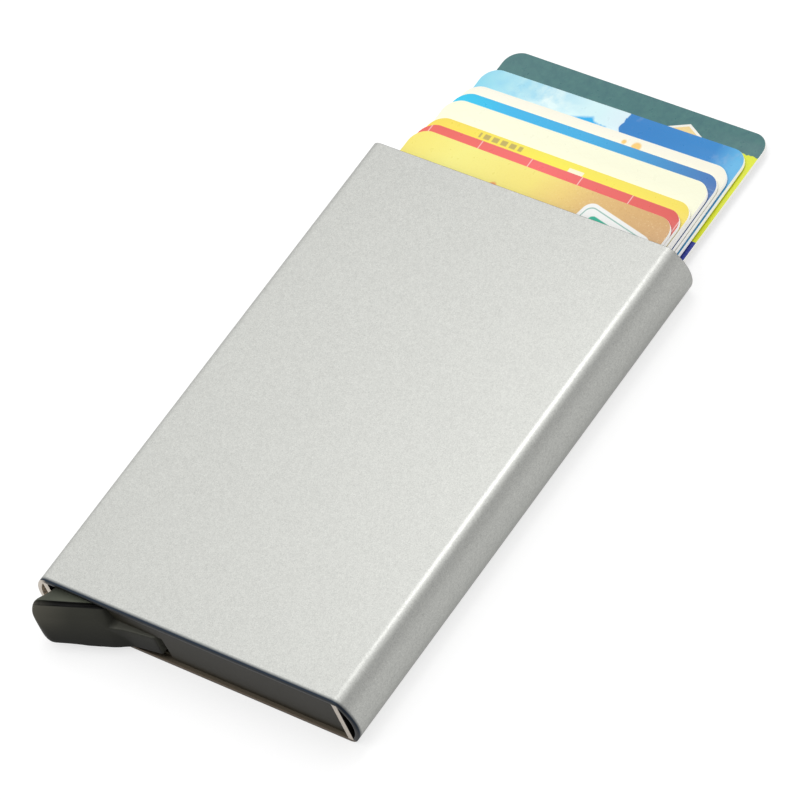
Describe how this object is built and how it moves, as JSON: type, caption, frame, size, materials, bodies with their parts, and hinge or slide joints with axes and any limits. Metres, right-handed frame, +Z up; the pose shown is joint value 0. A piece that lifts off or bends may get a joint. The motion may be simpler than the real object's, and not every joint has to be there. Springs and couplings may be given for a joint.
{
  "type": "pop-up card holder",
  "caption": "Flat aluminium sleeve wallet with bulged sides: a thumb lever at one corner turns a stepped arm that fans payment cards out of the open end.",
  "frame": {"origin": "centre of the sleeve's flat underside", "axes": "+Z up through the card stack, +Y out of the mouth along the cards, +X to the right with the thumb lever at the near left corner"},
  "size_m": [0.0654, 0.1323, 0.0108],
  "materials": {
    "sleeve aluminium": "bead blasted, satin",
    "black plastic": "fine moulded grain",
    "grey plastic": "moulded, satin",
    "pin steel": "ground",
    "black felt": "napped felt",
    "card 1 dark green": "laminated print",
    "card 2 sky blue": "laminated print",
    "card 3 cream": "laminated print",
    "card 4 blue": "laminated print",
    "card 5 ivory": "laminated print",
    "card 6 yellow": "laminated print",
    "card 7 red": "laminated print",
    "card 8 gold": "laminated print"
  },
  "bodies": {
    "holder": {"tube_shell": "sleeve aluminium", "end_cap": "black plastic", "thumb_lever_pin": "pin steel", "ejector_arm_pin": "pin steel", "left_guide_rail": "grey plastic", "right_guide_rail": "grey plastic", "left_edge_felt": "black felt", "right_edge_felt": "black felt", "mouth_pad": "black felt"},
    "lever": {"thumb_lever": "black plastic"},
    "arm": {"ejector_arm": "grey plastic"},
    "card_1": {"card_1": "card 1 dark green"},
    "card_2": {"card_2": "card 2 sky blue"},
    "card_3": {"card_3": "card 3 cream"},
    "card_4": {"card_4": "card 4 blue"},
    "card_5": {"card_5": "card 5 ivory"},
    "card_6": {"card_6": "card 6 yellow"},
    "card_7": {"card_7": "card 7 red"},
    "card_8": {"card_8": "card 8 gold"}
  },
  "joints": [
    {"name": "thumb_lever_hinge", "type": "hinge", "parent": "holder", "child": "lever", "pos_m": [-0.00735, -0.04465, 0], "axis": [0, 0, 1], "range_deg": [0, 22]},
    {"name": "ejector_arm_hinge", "type": "hinge", "parent": "holder", "child": "arm", "pos_m": [-0.0252, -0.04105, 0], "axis": [0, 0, 1], "range_deg": [-48.01, 0.01]},
    {"name": "card_1_slide", "type": "slide", "parent": "holder", "child": "card_1", "axis": [0, 1, 0], "range_m": [-0.03181, 0.00001]},
    {"name": "card_2_slide", "type": "slide", "parent": "holder", "child": "card_2", "axis": [0, 1, 0], "range_m": [-0.02691, 0.00001]},
    {"name": "card_3_slide", "type": "slide", "parent": "holder", "child": "card_3", "axis": [0, 1, 0], "range_m": [-0.02216, 0.00001]},
    {"name": "card_4_slide", "type": "slide", "parent": "holder", "child": "card_4", "axis": [0, 1, 0], "range_m": [-0.01951, 0.00001]},
    {"name": "card_5_slide", "type": "slide", "parent": "holder", "child": "card_5", "axis": [0, 1, 0], "range_m": [-0.01701, 0.00001]},
    {"name": "card_6_slide", "type": "slide", "parent": "holder", "child": "card_6", "axis": [0, 1, 0], "range_m": [-0.01201, 0.00001]},
    {"name": "card_7_slide", "type": "slide", "parent": "holder", "child": "card_7", "axis": [0, 1, 0], "range_m": [-0.00956, 0.00001]},
    {"name": "card_8_slide", "type": "slide", "parent": "holder", "child": "card_8", "axis": [0, 1, 0], "range_m": [-0.00731, 0.00001]}
  ],
  "couplings": [
    {"joint": "ejector_arm_hinge", "follows": "thumb_lever_hinge", "ratio": -2.1818},
    {"joint": "card_1_slide", "follows": "thumb_lever_hinge", "m_per_rad": -0.082818},
    {"joint": "card_2_slide", "follows": "thumb_lever_hinge", "m_per_rad": -0.070057},
    {"joint": "card_3_slide", "follows": "thumb_lever_hinge", "m_per_rad": -0.057686},
    {"joint": "card_4_slide", "follows": "thumb_lever_hinge", "m_per_rad": -0.050785},
    {"joint": "card_5_slide", "follows": "thumb_lever_hinge", "m_per_rad": -0.044274},
    {"joint": "card_6_slide", "follows": "thumb_lever_hinge", "m_per_rad": -0.031252},
    {"joint": "card_7_slide", "follows": "thumb_lever_hinge", "m_per_rad": -0.024872},
    {"joint": "card_8_slide", "follows": "thumb_lever_hinge", "m_per_rad": -0.019012}
  ]
}
